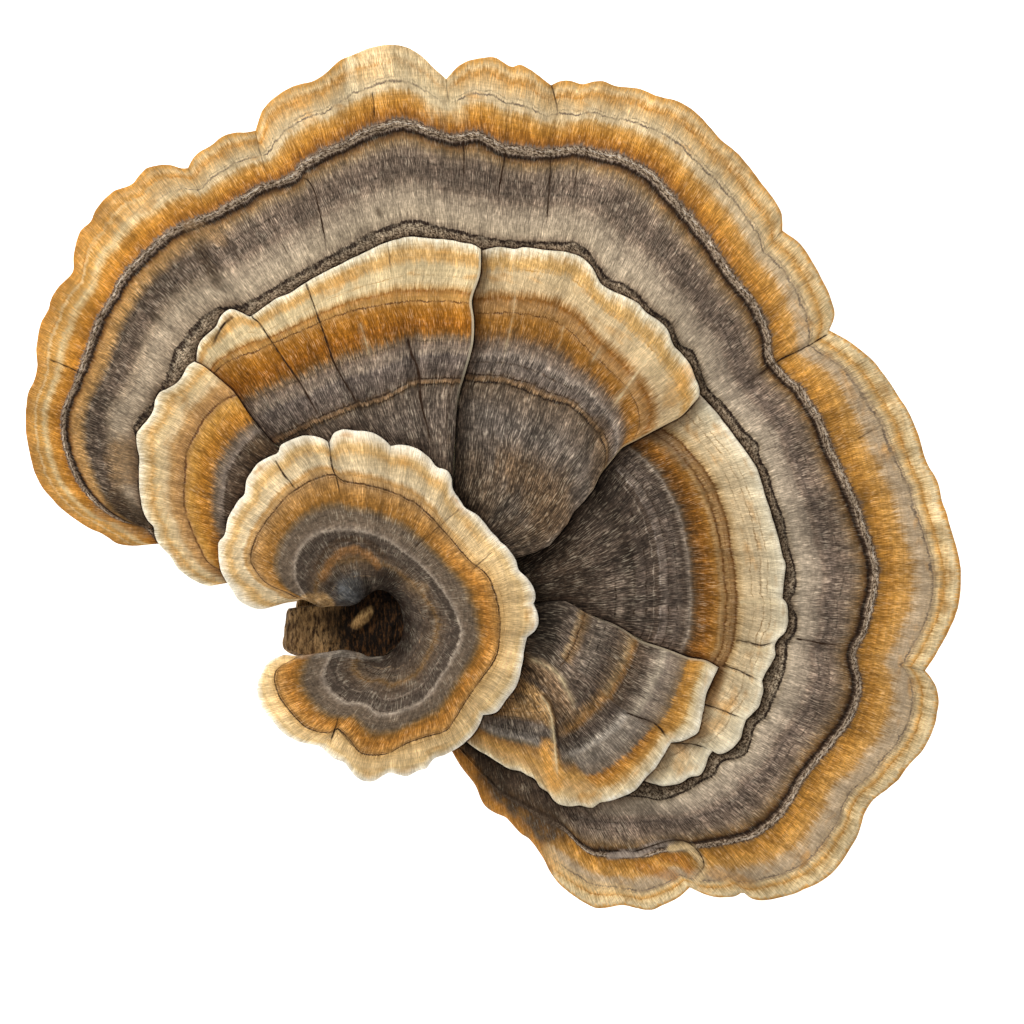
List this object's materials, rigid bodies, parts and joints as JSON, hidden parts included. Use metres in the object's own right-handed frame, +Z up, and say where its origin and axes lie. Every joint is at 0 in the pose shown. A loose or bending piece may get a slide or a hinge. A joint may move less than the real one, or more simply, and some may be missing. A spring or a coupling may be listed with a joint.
{
  "type": "turkey tail fungus rosette",
  "caption": "Turkey tail bracket fungus: thin, wavy, colour-banded caps overlapping in a rosette on a stout base, cut flat underneath so that it stands on a surface.",
  "frame": {"origin": "bottom centre of the bounding box, on the surface that the flat cut rests on", "axes": "+X towards the right-hand side of the rosette seen from above, along its longest extent; +Y towards the back, where the broad lower cap is widest; +Z up, away from the flat cut"},
  "size_m": [0.1198, 0.1109, 0.0186],
  "materials": {
    "base_flesh": "rough, matt, dark brown",
    "lower_cap_skin": "velvety, banded grey, ochre and tan",
    "left_cap_skin": "velvety, banded ochre, grey and cream",
    "middle_cap_skin": "velvety, banded ochre, grey and cream",
    "inner_right_cap_skin": "velvety, banded ochre, grey and cream",
    "right_cap_skin": "velvety, banded dark grey, ochre and cream",
    "front_cap_skin": "velvety, banded brown, grey and ochre",
    "crown_cap_skin": "velvety, banded ochre, grey and cream"
  },
  "bodies": {
    "root": {"base": "base_flesh", "lower_cap": "lower_cap_skin", "left_cap": "left_cap_skin", "middle_cap": "middle_cap_skin", "inner_right_cap": "inner_right_cap_skin", "right_cap": "right_cap_skin", "front_cap": "front_cap_skin", "crown_cap": "crown_cap_skin"}
  },
  "joints": []
}
